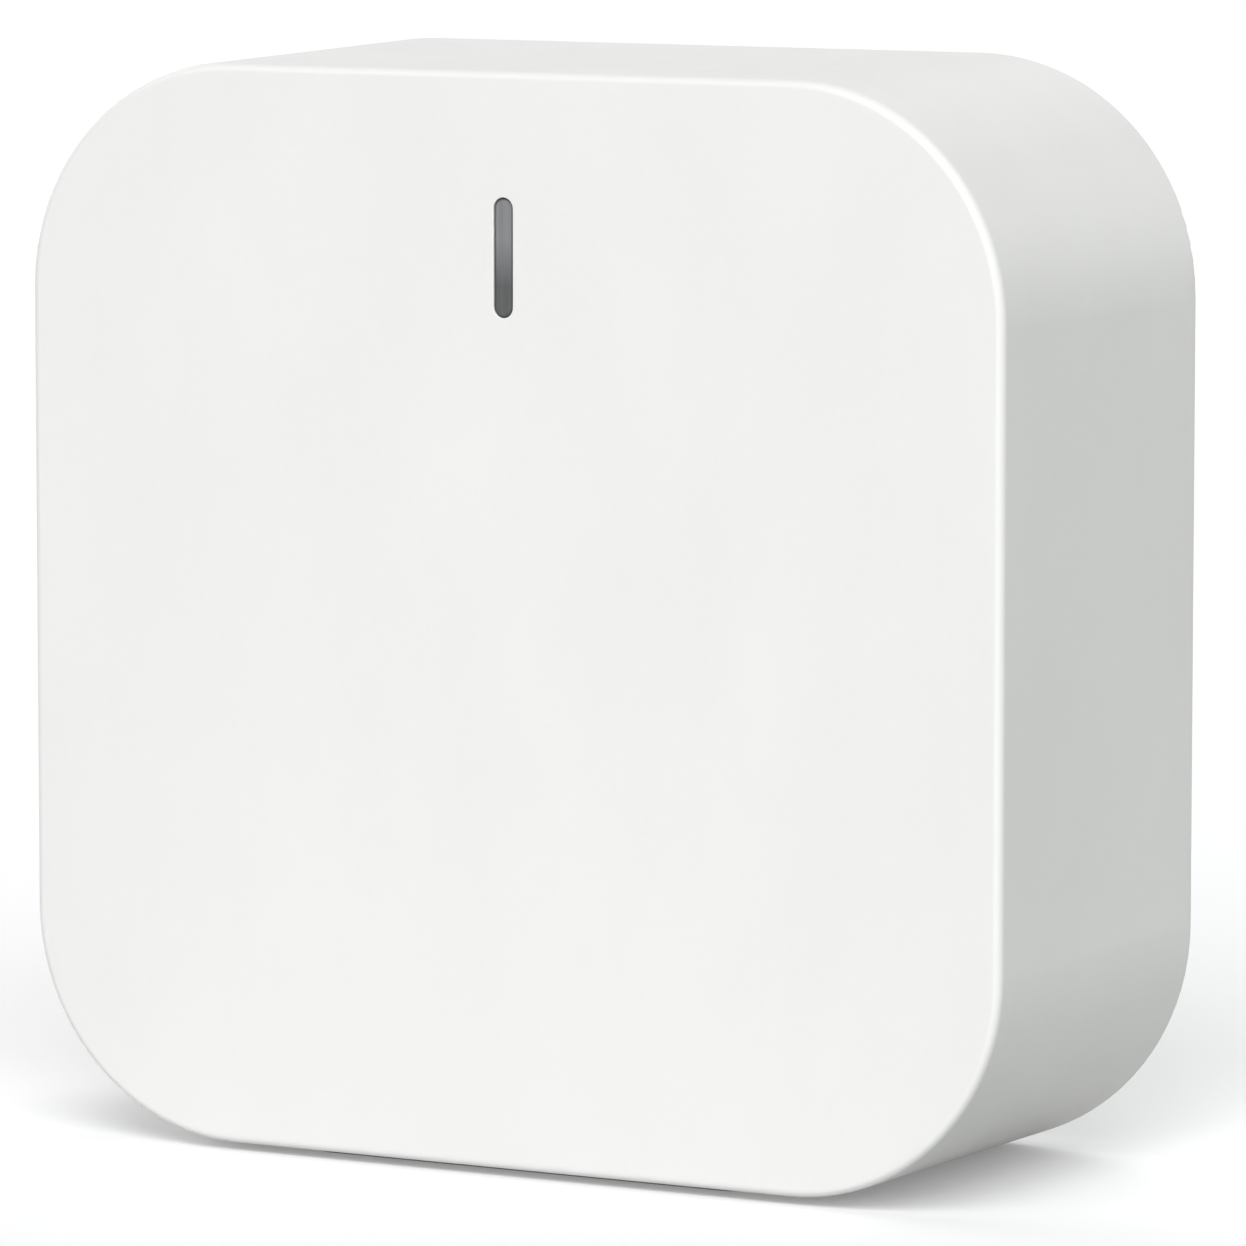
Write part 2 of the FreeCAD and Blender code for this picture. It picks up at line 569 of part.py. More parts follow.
def make_light_board():
    board = Piece("led_board", y=LED_BOARD_FRONT, z=LED_BOARD_ABOVE)
    board.pad([rounded("dims.led_board_width", "dims.led_board_height", "1.5")],
              "dims.led_board_thickness")
    low = "-dims.led_board_height / 2 + 3"
    for side in (-1, 1):
        board.cut([circle("dims.board_screw + 0.3")], "dims.led_board_thickness",
                  x=f"{side} * (dims.led_board_width / 2 - 3)", z=low)

    lamps = Piece("status_leds", y=LED_BOARD_FRONT, z="dims.bar_height - dims.led_pitch")
    lamps.pad([rectangle("2.8", "2.0")], "0.8", forwards=False)
    lamps.cut([circle("1.7")], "0.3", y="-0.8")
    lamps.repeat("Z_Axis", "dims.led_pitch", "3")

    screws = Piece("led_board_screws", y=LED_BOARD_REAR, z=f"{LED_BOARD_ABOVE} + ({low})")
    draw_screw(screws, "dims.board_screw", "3.6", "1.2", "3.6", "dims.led_board_width / 2 - 3", "0",
               towards=-1)
    screws.mirror("YZ_Plane")


def make_ribbon():
    """The flat cable from the light board, round a half circle and up to the main board."""
    width, skin = number("dims.ribbon_width"), number("dims.ribbon_skin")
    low, light_end = number("dims.ribbon_low"), number("dims.ribbon_light_end")
    board_end = number("dims.ribbon_board_end")
    board_y, light_y = number(BOARD_FRONT), number(LED_BOARD_REAR)
    middle_y = (board_y + light_y) / 2
    radius = (board_y - light_y) / 2 - number("dims.ribbon_inset")

    def leg(y, top):
        return Part.makeBox(width, skin, top - low, Vector(-width / 2, y - skin / 2, low))

    def roll(reach):
        return Part.makeCylinder(reach, width, Vector(-width / 2, middle_y, low), Vector(1, 0, 0))

    below = Part.makeBox(width, 4 * radius, 2 * radius,
                         Vector(-width / 2, middle_y - 2 * radius, low - 2 * radius))
    bend = roll(radius + skin / 2).cut(roll(radius - skin / 2)).common(below)
    band = bend.fuse([leg(middle_y - radius, light_end), leg(middle_y + radius, board_end)])
    ribbon = doc.addObject("Part::Feature", "led_ribbon_cable")
    ribbon.Label = "led_ribbon_cable"
    ribbon.Shape = band.removeSplitter()
    ribbon.Placement.Base = Vector(0, 0, number(MIDDLE))
    pieces.append(ribbon)

    for name, y, forwards, z in (
        ("led_board_connector", LED_BOARD_REAR, True, "dims.ribbon_light_end"),
        ("main_board_connector", BOARD_FRONT, False, "dims.ribbon_board_end"),
    ):
        socket = Piece(name, y=y, z=z)
        socket.pad([rectangle("dims.ribbon_width + 2.4", "3.4")], "1.6", z="1.7", forwards=forwards)
        mouth_y = "dims.ribbon_inset" if forwards else "-dims.ribbon_inset"
        socket.cut([rectangle("dims.ribbon_width + 0.2", "0.4")], "1.2", y=mouth_y, plane="XY_Plane")
        socket.soften("Chamfer", "0.2", runs_along_y)


# Screws: a domed head with a cross recess, and a thread drawn as rings.


def draw_screw(piece, thread, head, head_height, length, x, z, towards):
    """A screw along Y with its head's underside at y = 0 and its point towards plus or minus Y."""
    piece.pad([circle(head)], head_height, x=x, z=z, forwards=towards < 0)
    piece.soften("Fillet", f"({head_height}) * 0.45", lies_at_y(f"{-towards} * ({head_height})"))
    core = f"({thread}) * 0.76"
    piece.pad([circle(core)], length, x=x, z=z, forwards=towards > 0)
    pitch = number(thread) * 0.4
    for ring in range(int(number(length) / pitch) - 1):
        at = towards * (ring + 0.7) * pitch
        piece.pad([circle(thread)], str(pitch * 0.4), x=x, y=str(at), z=z, forwards=towards > 0)
    for width, height in ((0.52, 0.13), (0.13, 0.52)):
        piece.cut([rectangle(f"({head}) * {width}", f"({head}) * {height}")],
                  f"({head_height}) * 0.6", x=x, y=f"{-towards} * ({head_height})", z=z,
                  forwards=towards > 0)


def make_screws():
    case = Piece("case_screws", y="dims.boss_end + 2.1")
    draw_screw(case, "dims.case_screw", "dims.case_screw_head", "1.9", "10", "dims.boss_offset",
               "dims.boss_offset", towards=-1)
    case.mirror("YZ_Plane", "XY_Plane")
    board = Piece("board_screws", y=BOARD_FRONT)
    draw_screw(board, "dims.board_screw", "3.8", "1.4", "7", "dims.standoff_x", "dims.standoff_z",
               towards=1)
    board.mirror("YZ_Plane", "XY_Plane")


# The main board and what is soldered to it. Rear-side parts stand on its rear face towards +Y, and
# front-side parts on its front face towards -Y.


def make_main_board():
    board = Piece("main_board", y="dims.board_rear")
    board.pad([rounded("dims.board_size", "dims.board_size", "dims.board_corner")],
              "dims.board_thickness", forwards=False)
    for sx, sz in CORNERS:
        board.cut([circle("dims.boss_diameter + 2")], "dims.board_thickness",
                  x=f"{sx} * dims.boss_offset", z=f"{sz} * dims.boss_offset", forwards=False)
        board.cut([circle("dims.board_screw + 0.3")], "dims.board_thickness",
                  x=f"{sx} * dims.standoff_x", z=f"{sz} * dims.standoff_z", forwards=False)


def front_side(name, x, z):
    return Piece(name, x=x, y=BOARD_FRONT, z=z)


def rear_side(name, x, z):
    return Piece(name, x=x, y="dims.board_rear", z=z)


def draw_chip(piece, width, height, thickness, forwards, x="0", z="0", lift="0.1"):
    """A moulded package: a low lead frame or ball field, then the body with its pin-one mark."""
    sign = 1 if forwards else -1
    piece.pad([rectangle(f"{width} - 0.6", f"{height} - 0.6")], lift, x=x, z=z, forwards=forwards)
    piece.pad([rectangle(width, height)], f"{thickness} - {lift}", x=x, y=f"{sign} * {lift}", z=z,
              forwards=forwards)
    piece.cut([circle("0.9")], "0.08", x=f"{x} - {width} / 2 + 1.2", y=f"{sign} * {thickness}",
              z=f"{z} + {height} / 2 - 1.2", forwards=not forwards)


def make_processor_section():
    """Processor and memory under a screening can, with thermal pads and a finned heat sink."""
    below = "-dims.can_below"
    draw_chip(front_side("processor", "-7", below), "14", "14", "1.3", forwards=False)
    draw_chip(front_side("memory_chip", "9.5", below), "10", "13", "1.1", forwards=False)

    frame = front_side("shield_frame", "0", below)
    frame.pad(
        [
            rounded("dims.can_width - 0.6", "dims.can_height - 0.6", "0.8"),
            rounded("dims.can_width - 1.0", "dims.can_height - 1.0", "0.6", tag="_inside"),
        ],
        "dims.can_depth - 0.3", forwards=False,
    )
    frame.pad(
        [
            rounded("dims.can_width - 0.6", "dims.can_height - 0.6", "0.8"),
            rounded("dims.can_width - 4", "dims.can_height - 4", "1", tag="_inside"),
        ],
        "0.2", y="-dims.can_depth + 0.5", forwards=False,
    )
    lid = front_side("shield_lid", "0", below)
    lid.pad([rounded("dims.can_width", "dims.can_height", "0.8")], "1.5", y="-dims.can_depth")
    lid.cut([rounded("dims.can_width - 0.4", "dims.can_height - 0.4", "0.6")], "1.3",
            y="-dims.can_depth + 0.2")

    pads = front_side("thermal_pads", "0", below)
    pads.pad([rounded("13", "13", "0.5")], "dims.can_depth - 0.2 - 1.3", x="-7", y="-1.3",
             forwards=False)
    pads.pad([rounded("26", "22", "0.5")], "0.5", y="-dims.can_depth", forwards=False)

    sink = front_side("heat_sink", "0", below)
    face = "-dims.can_depth - 0.5"
    sink.pad([rounded("dims.sink_size", "dims.sink_size", "1")], "dims.sink_base", y=face,
             forwards=False)
    fins = 9
    for fin in range(fins):
        at = f"({fin} - {(fins - 1) / 2}) * (dims.sink_size - 1.2) / {fins - 1}"
        sink.pad([rectangle("1.1", "dims.sink_size")], "dims.sink_fin", x=at,
                 y=f"{face} - dims.sink_base", forwards=False)


def make_network_jack():
    """Upright network jack: plastic housing, plated shield and eight spring contacts."""
    x, z = "dims.jack_x", "-dims.bay_below"
    skin = "2 * dims.jack_skin"
    mouth_z = "0.9"
    housing = rear_side("network_jack_housing", x, z)
    housing.pad([rectangle(f"dims.jack_width - {skin}", f"dims.jack_height - {skin}")],
                "dims.jack_depth - dims.jack_skin")
    top = "dims.jack_depth - dims.jack_skin"
    housing.cut([rectangle("dims.jack_mouth", "dims.jack_mouth_height")], "dims.jack_bore_depth",
                y=top, z=mouth_z, forwards=False)
    latch_z = f"{mouth_z} - dims.jack_mouth_height / 2"
    for width, drop in (("6.4", "0.9"), ("3.4", "2.0")):
        housing.cut([rectangle(width, f"2 * {drop}")], "dims.jack_bore_depth - 2", y=top, z=latch_z,
                    forwards=False)
    contact_rail = f"{mouth_z} + dims.jack_mouth_height / 2"
    housing.cut([rectangle("8.8", "0.9")], "dims.jack_bore_depth", y=top, z=contact_rail,
                forwards=False)

    shield = rear_side("network_jack_shield", x, z)
    wrap = [
        rectangle("dims.jack_width", "dims.jack_height"),
        rectangle(f"dims.jack_width - {skin}", f"dims.jack_height - {skin}", tag="_inside"),
    ]
    shield.pad(wrap, "dims.jack_depth - 0.4", y="0.4")
    shield.pad([rectangle("dims.jack_width", "dims.jack_height")], "dims.jack_skin",
               y="dims.jack_depth - dims.jack_skin")
    for width, height, at in (
        ("dims.jack_mouth", "dims.jack_mouth_height", mouth_z),
        ("6.4", "1.8", latch_z),
        ("3.4", "4", latch_z),
    ):
        shield.cut([rectangle(width, height)], "dims.jack_skin", y="dims.jack_depth", z=at,
                   forwards=False)
    for side in (-1, 1):
        shield.pad([rectangle("0.3", "3")], "7", x=f"{side} * (dims.jack_width / 2 + 0.08)", y="4")

    pitch, count = "1.02", 8
    contacts = rear_side("network_jack_contacts", f"{x} - 3.5 * {pitch}", z)
    rail, floor, mouth = number(contact_rail), number(f"{top} - dims.jack_bore_depth"), number(top)
    spring = (
        (mouth - 1.4, rail + 0.2),
        (mouth - 1.0, rail - 0.1),
        (floor + 2.6, rail - 2.0),
        (floor + 2.2, rail - 2.1),
        (floor + 2.4, rail - 1.7),
        (mouth - 1.5, rail + 0.4),
    )
    contacts.pad([polygon([(str(y), str(up)) for y, up in spring])], "0.45", x="-0.225",
                 plane="YZ_Plane")
    contacts.repeat("X_Axis", pitch, str(count))

    magnetics = rear_side("network_transformer", x, "-8.5")
    magnetics.pad([rectangle("12.8", "7.4")], "5.6", y="0.3")
    magnetics.soften("Chamfer", "0.4", lies_at_y("5.9"))
    legs = rear_side("network_transformer_legs", f"{x} - 5.6", "-8.5")
    bent = (("0.15", "3.7"), ("0.15", "5.2"), ("0.4", "5.2"), ("0.4", "4.1"), ("2.4", "4.1"),
            ("2.4", "3.7"))
    legs.pad([polygon(bent)], "0.5", x="-0.25", y="-0.15", plane="YZ_Plane")
    legs.repeat("X_Axis", "1.6", "8")
    legs.mirror("XY_Plane")


def make_usb_socket():
    """Upright USB-C socket: steel shell, and a tongue with its contact strips on a plastic block."""
    x, z = "dims.usb_x", "-dims.bay_below"
    shell = rear_side("usb_c_shell", x, z)
    inside = "2 * dims.usb_skin"
    tube = [
        slot("dims.usb_width", "dims.usb_height", upright=False),
        slot(f"dims.usb_width - {inside}", f"dims.usb_height - {inside}", upright=False,
             tag="_inside"),
    ]
    shell.pad(tube, "dims.usb_depth")

    tongue = rear_side("usb_c_tongue", x, z)
    block = slot(f"dims.usb_width - {inside} - 0.04", f"dims.usb_height - {inside} - 0.04",
                 upright=False)
    tongue.pad([block], "dims.usb_depth - 6.2")
    tongue.pad([rectangle("6.7", "0.7")], "5.4", y="dims.usb_depth - 6.2")
    tongue.soften("Chamfer", "0.2", lies_at_y("dims.usb_depth - 0.8"))

    pitch, count = "0.5", 12
    strips = rear_side("usb_c_contacts", f"{x} - 5.5 * {pitch}", z)
    strips.pad([rectangle("0.26", "0.08")], "4.2", y="dims.usb_depth - 5.8", z="0.35 + 0.04")
    strips.repeat("X_Axis", pitch, str(count))
    strips.mirror("XY_Plane")


def make_radio_module():
    """The low-power radio's own small board, with its can, and its printed antenna at the top edge."""
    x, z = "-20", "28"
    board = rear_side("radio_module_board", x, z)
    board.pad([rectangle("16", "22")], "0.8")
    for side in (-1, 1):
        for pad in range(9):
            board.cut([circle("0.8")], "0.8", x=f"{side} * 8", z=f"{pad} * 1.6 - 9.6")
    can = rear_side("radio_module_can", x, z)
    can.pad([rounded("13.2", "13.6", "0.6")], "2", y="0.8", z="-3")
    can.soften("Fillet", "0.3", lies_at_y("2.8"))


def make_power_and_small_parts():
    inductor = rear_side("power_inductor", "-17", "-6")
    inductor.pad([rounded("7", "7", "1.2")], "3.2")
    inductor.cut([circle("5")], "0.25", y="3.2", forwards=False)
    caps = rear_side("bulk_capacitors", "-27", "-7")
    caps.pad([rectangle("6.6", "6.6")], "0.9")
    caps.pad([circle("6.3")], "6.8", y="0.9")
    caps.soften("Fillet", "0.5", lies_at_y("7.7"))
    caps.repeat("Z_Axis", "8", "2")
    phy = rear_side("network_chip", "12", "6")
    draw_chip(phy, "7", "7", "0.9", forwards=True)
    regulator = rear_side("power_regulator", "-17", "4")
    draw_chip(regulator, "4", "5", "1.2", forwards=True)
    flash = rear_side("flash_chip", "26", "8")
    draw_chip(flash, "6", "8", "0.9", forwards=True)
    crystals = rear_side("clock_crystals", "20", "4")
    crystals.pad([rounded("3.2", "2.5", "0.3")], "0.75")
    crystals.repeat("Z_Axis", "6", "2")
    small = rear_side("small_capacitors", "10", "16")
    small.pad([rectangle("1.6", "0.8")], "0.8")
    small.repeat("X_Axis", "2.9", "7")
    small.repeat("Z_Axis", "1.9", "4")


def make_antenna():
    """A foil antenna on the left wall, and its coaxial lead down to a snap plug on the main board."""
    wall_at = "dims.hub_size / 2 - dims.wall - (dims.hub_depth / 2 + 8) * tan(dims.draft_angle * 1 deg)"
    patch = Piece("antenna_foil", x=f"-({wall_at}) + 0.15", y="-8", z="3")
    patch.pad([rounded("9", "30", "1")], "0.25", plane="YZ_Plane")
    tilt = number("dims.draft_angle")
    patch.body.Placement.Rotation = Rotation(Vector(0, 0, 1), -tilt)

    socket = front_side("coax_socket", "-dims.lead_plug", "dims.lead_above")
    socket.pad([rectangle("2.8", "2.6")], "0.35", forwards=False)
    socket.pad([circle("2")], "0.35", y="-0.35", forwards=False)
    plug = front_side("coax_plug", "-dims.lead_plug", "dims.lead_above")
    plug.pad([circle("2.8")], "1.2", y="-0.7", forwards=False)
    plug.pad([rectangle("2.4", "1.6")], "0.9", x="-1.6", y="-0.9", forwards=False)

    wall_x, bend = 1.15 - number(wall_at), number("dims.lead_bend")
    board_y, height = number(f"{BOARD_FRONT} - dims.lead_standoff"), number("dims.lead_above")
    start = Vector(number("-dims.lead_plug - 2.8"), board_y, height)
    corner, end = Vector(wall_x, board_y, height), Vector(wall_x, number("-dims.lead_end"), height)
    bend_from, bend_to = corner + Vector(bend, 0, 0), corner + Vector(0, -bend, 0)
    bend_middle = corner + Vector(bend, -bend, 0) * (1 - math.sqrt(0.5))
    runs = (
        Part.LineSegment(start, bend_from),
        Part.Arc(bend_from, bend_middle, bend_to),
        Part.LineSegment(bend_to, end),
    )
    path = Part.Wire([run.toShape() for run in runs])
    section = Part.Wire(Part.Circle(start, Vector(1, 0, 0), number("dims.lead_diameter") / 2).toShape())
    cable = doc.addObject("Part::Feature", "antenna_lead")
    cable.Label = "antenna_lead"
    cable.Shape = path.makePipeShell([section], True, True)
    cable.Placement.Base = Vector(0, 0, number(MIDDLE))
    pieces.append(cable)


# The reset button, and the switch that it presses.


def make_reset_button():
    """A round cap that slides in the rear cover's sleeve, held in by its flange."""
    x, z = "0", "-dims.button_below"
    below = "dims.board_rear + dims.plunger_top"
    button = Piece("reset_button", y=below, z=z)
    flange_top = f"{COVER_BACK} - dims.button_sleeve - 0.1 - ({below})"
    cap_top = f"{COVER_FACE} - 0.2 - ({below})"
    button.pad([circle("dims.button_diameter")], f"{cap_top} - ({flange_top})", y=flange_top)
    button.soften("Fillet", "0.5", lies_at_y(cap_top))
    button.pad([circle("dims.button_diameter + 2")], "1", y=flange_top, forwards=False)
    button.pad([circle("4")], f"{flange_top} - 1 - 0.02", y="0.02")

    base = rear_side("switch_base", x, z)
    base.pad([rectangle("dims.switch_size", "dims.switch_size")], "dims.switch_height")
    base.cut([circle("4.9")], "dims.switch_height - 1", y="dims.switch_height", forwards=False)
    base.soften("Chamfer", "0.3", runs_along_y)
    plate = rear_side("switch_cover_plate", x, z)
    plate.pad(
        [
            rectangle("dims.switch_size", "dims.switch_size"),
            circle("dims.plunger_diameter + 0.2", tag="_hole"),
        ],
        "0.3", y="dims.switch_height",
    )
    for sx, sz in CORNERS:
        plate.pad([circle("0.9")], "0.15", x=f"{sx} * 2.3", y="dims.switch_height + 0.3", z=f"{sz} * 2.3")
    plunger = rear_side("switch_plunger", x, z)
    plunger.pad([circle("4.5")], "1.1", y="2")
    plunger.pad([circle("dims.plunger_diameter")], "dims.plunger_top - 3.1", y="3.1")
    plunger.soften("Chamfer", "0.2", lies_at_y("dims.plunger_top"))

    dome = rear_side("switch_dome", x, z)
    rise = [(2.2 * math.cos(step * math.pi / 12), 0.75 * math.sin(step * math.pi / 12)) for step in range(7)]
    outline = [(f"{r:.4f}", f"{1.12 + up:.4f}") for r, up in rise[:-1]] + [("0", "1.87")]
    outline += [("0", "1.77")] + [(f"{r:.4f}", f"{1.02 + up:.4f}") for r, up in rise[-2::-1]]
    dome.revolve(outline)

    legs = rear_side("switch_legs", f"{x} - 2.25", z)
    bent = (("0", "3.0"), ("0", "4.4"), ("0.25", "4.4"), ("0.25", "3.3"), ("1.6", "3.3"), ("1.6", "3.0"))
    legs.pad([polygon(bent)], "0.7", x="-0.35", plane="YZ_Plane")
    legs.repeat("X_Axis", "4.5", "2")
    legs.mirror("XY_Plane")


def check_document():
    """Stops if any object failed to recompute, or any sub-part isn't made of closed valid solids."""
    doc.recompute()
    for item in doc.Objects:
        if {"Invalid", "Error"} & set(item.State):
            raise ValueError(f"{item.Name} is {item.State}")
    for piece in pieces:
        shape = piece.Shape
        if shape.isNull() or not shape.isValid() or not shape.Solids:
            raise ValueError(f"{piece.Label} has no valid shape")


def write_parts():
    os.makedirs("parts", exist_ok=True)
    for piece in pieces:
        piece.Shape.exportStep(f"parts/{piece.Label}.step")
        print(f"{piece.Label}: {len(piece.Shape.Solids)} solids, {piece.Shape.Volume / 1000:.3f} cm3")


make_front_shell()
make_rear_cover()
make_feet()
make_rating_label()
make_light_bar()
make_light_board()
make_ribbon()
make_screws()
make_main_board()
make_processor_section()
make_network_jack()
make_usb_socket()
make_radio_module()
make_power_and_small_parts()
make_antenna()
make_reset_button()
check_document()
write_parts()
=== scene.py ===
import math

import bpy
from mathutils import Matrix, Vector


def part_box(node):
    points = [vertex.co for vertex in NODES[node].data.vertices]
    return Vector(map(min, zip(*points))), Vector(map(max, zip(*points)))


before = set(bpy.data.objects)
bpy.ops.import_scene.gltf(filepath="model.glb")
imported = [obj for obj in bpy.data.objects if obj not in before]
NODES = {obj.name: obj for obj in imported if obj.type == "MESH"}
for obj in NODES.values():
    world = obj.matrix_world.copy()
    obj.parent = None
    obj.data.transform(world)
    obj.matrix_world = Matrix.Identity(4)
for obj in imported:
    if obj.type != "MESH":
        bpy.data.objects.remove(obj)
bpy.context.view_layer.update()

# A smart home hub on a pale floor. The CAD nodes are the whole object: this script gives each of them its
# material, and makes the floor, the lamps and the camera.
MM = 0.001
WHITE = (1.0, 1.0, 1.0)
FAINT_GREEN = (0.94, 1.0, 0.94)

# Camera: the view of the photograph, aimed at the middle of the hub. Sizes are in millimetres, the
# distance is in metres, and angles are in degrees.
HUB_SIZE = 95.0
FOOT_PROUD = 0.15
HUB_MIDDLE = Vector((0.0, 0.0, (HUB_SIZE / 2 + FOOT_PROUD) * MM))
VIEW_AZIMUTH = 28.44
VIEW_ELEVATION = 6.58
VIEW_DISTANCE = 0.750
SENSOR = 36.0
LENS = 249.98
SHIFT = (0.0127, -0.0164)
NEAREST, FURTHEST = 0.01, 100.0


def direction(azimuth, elevation):
    """The way out from the hub. Azimuth 0 is straight in front of it, and 90 is at its right."""
    turn, rise = math.radians(azimuth), math.radians(elevation)
    return Vector((math.sin(turn) * math.cos(rise), -math.cos(turn) * math.cos(rise), math.sin(rise)))


def set_camera():
    data = bpy.data.cameras.new("camera")
    data.sensor_width = SENSOR
    data.lens = LENS
    data.shift_x, data.shift_y = SHIFT
    data.clip_start, data.clip_end = NEAREST, FURTHEST
    camera = bpy.data.objects.new("camera", data)
    bpy.context.scene.collection.objects.link(camera)
    back = direction(VIEW_AZIMUTH, VIEW_ELEVATION)
    camera.location = HUB_MIDDLE + back * VIEW_DISTANCE
    camera.rotation_euler = (-back).to_track_quat("-Z", "Y").to_euler()
    bpy.context.scene.camera = camera


# Soft studio light in a white room: large lamps all round, the strongest level with the front and at
# its upper right. The light on the shaded right side is faintly green, as in the picture.
LAMP_SIZE = 40.0
LAMPS = (
    # name, azimuth and elevation it shines from, strength, colour
    ("front", 0.0, 0.0, 2.15, WHITE),
    ("front_high", 0.0, 45.0, 0.69, WHITE),
    ("front_right", 30.0, 45.0, 1.53, WHITE),
    ("right", 60.0, 15.0, 0.67, FAINT_GREEN),
    ("rear_right", 150.0, 15.0, 0.68, WHITE),
    ("rear_high", 180.0, 45.0, 0.64, WHITE),
    ("rear_left", -150.0, 15.0, 0.38, WHITE),
    ("left", -120.0, 15.0, 1.32, WHITE),
)


def set_lights():
    for name, azimuth, elevation, strength, colour in LAMPS:
        data = bpy.data.lights.new(name, "SUN")
        data.energy = strength
        data.angle = math.radians(LAMP_SIZE)
        data.color = colour
        lamp = bpy.data.objects.new(name, data)
        bpy.context.scene.collection.objects.link(lamp)
        lamp.rotation_euler = direction(azimuth, elevation).to_track_quat("Z", "Y").to_euler()


def set_room():
    """A white room that is only seen: the lamps alone light the hub."""
    room = bpy.data.worlds.new("room")
    bpy.context.scene.world = room
    room.use_nodes = True
    background = room.node_tree.nodes["Background"]
    background.inputs["Color"].default_value = (*WHITE, 1.0)
    background.inputs["Strength"].default_value = 1.0
    room.cycles_visibility.diffuse = False
    room.cycles_visibility.glossy = False
    bpy.context.scene.view_settings.view_transform = "Standard"
    bpy.context.scene.view_settings.look = "None"


# Most of a noise lies between these two values.
NOISE_LOW, NOISE_HIGH = 0.3, 0.7


class Paint:
    """A node material being built: each helper adds a node or two and returns an output socket."""

    def __init__(self, name):
        self.material = bpy.data.materials.new(name)
        self.material.use_nodes = True
        self.tree = self.material.node_tree
        self.shader = self.tree.nodes["Principled BSDF"]
        self.place = self.add("ShaderNodeTexCoord").outputs["Object"]

    def add(self, kind, inputs=None, **settings):
        node = self.tree.nodes.new(kind)
        for key, value in settings.items():
            setattr(node, key, value)
        for key, value in (inputs or {}).items():
            self.put(node.inputs[key], value)
        return node

    def put(self, socket, value):
        if isinstance(value, bpy.types.NodeSocket):
            self.tree.links.new(value, socket)
        elif isinstance(value, (tuple, list)) and socket.type == "RGBA":
            socket.default_value = (*value, 1.0)
        else:
            socket.default_value = value

    def set(self, **inputs):
        """Sets the shader's own sockets, by their names with _ for a space."""
        for key, value in inputs.items():
            self.put(self.shader.inputs[key.replace("_", " ")], value)

    def math(self, operation, a, b=0.0, c=0.0):
        return self.add("ShaderNodeMath", {0: a, 1: b, 2: c}, operation=operation).outputs[0]

    def ramp(self, value, low, high, out_low=0.0, out_high=1.0):
        """Straight from out_low to out_high as value goes from low to high, and level beyond."""
        ends = {"Value": value, "From Min": low, "From Max": high, "To Min": out_low, "To Max": out_high}
        return self.add("ShaderNodeMapRange", ends).outputs["Result"]

    def spread(self, noise, out_low=0.0, out_high=1.0):
        """Stretches a noise over the whole way from out_low to out_high."""
        return self.ramp(noise, NOISE_LOW, NOISE_HIGH, out_low, out_high)

    def band(self, value, climb, drop):
        """Goes up from 0 to 1 as value crosses the pair climb, and down again as it crosses drop."""
        return self.math("MULTIPLY", self.ramp(value, *climb), self.ramp(value, *drop, 1.0, 0.0))

    def blend(self, amount, a, b):
        made = self.add("ShaderNodeMix", data_type="RGBA")
        sockets = {socket.identifier: socket for socket in made.inputs}
        self.put(sockets["Factor_Float"], amount)
        self.put(sockets["A_Color"], a)
        self.put(sockets["B_Color"], b)
        return next(out for out in made.outputs if out.identifier == "Result_Color")

    def scaled(self, size_mm, stretch=(1, 1, 1)):
        """The place in the object in units of size_mm, longer along the axes that are stretched."""
        scale = tuple(1.0 / (size_mm * MM * along) for along in stretch)
        return self.add("ShaderNodeVectorMath", {0: self.place, 1: scale}, operation="MULTIPLY").outputs[0]

    def noise(self, size_mm, detail=2.0, roughness=0.5, stretch=(1, 1, 1)):
        settings = {"Vector": self.scaled(size_mm, stretch), "Scale": 1.0, "Detail": detail,
                    "Roughness": roughness}
        return self.add("ShaderNodeTexNoise", settings).outputs["Fac"]

    def cells(self, size_mm, distance="EUCLIDEAN"):
        """The distance to the nearest of many scattered points, in units of size_mm."""
        settings = {"Vector": self.scaled(size_mm), "Scale": 1.0, "Randomness": 1.0}
        return self.add("ShaderNodeTexVoronoi", settings, distance=distance).outputs["Distance"]

    def axis(self, name):
        """One coordinate of the place in the object, in millimetres."""
        along = self.add("ShaderNodeSeparateXYZ", {0: self.place}).outputs[name]
        return self.math("MULTIPLY", along, 1 / MM)

    def facing(self, name):
        """How squarely the surface faces along an axis, from 0 to 1."""
        normal = self.add("ShaderNodeNewGeometry").outputs["Normal"]
        return self.math("ABSOLUTE", self.add("ShaderNodeSeparateXYZ", {0: normal}).outputs[name])

    def away(self, value, middle):
        """How far a value is from a middle, on either side."""
        return self.math("ABSOLUTE", self.math("SUBTRACT", value, middle))

    def length(self, a, b):
        return self.math("SQRT", self.math("ADD", self.math("MULTIPLY", a, a), self.math("MULTIPLY", b, b)))

    def wave(self, value, radians_per_mm):
        return self.math("SINE", self.math("MULTIPLY", value, radians_per_mm))

    def bump(self, height, depth_mm, strength=1.0, under=None):
        """Puts a bump on the shader, over the bump called under if there is one."""
        inputs = {"Height": height, "Distance": depth_mm * MM, "Strength": strength}
        if under is not None:
            inputs["Normal"] = under
        normal = self.add("ShaderNodeBump", inputs).outputs["Normal"]
        self.set(Normal=normal)
        return normal


def tint(colour, factor):
    return tuple(min(1.0, channel * factor) for channel in colour)


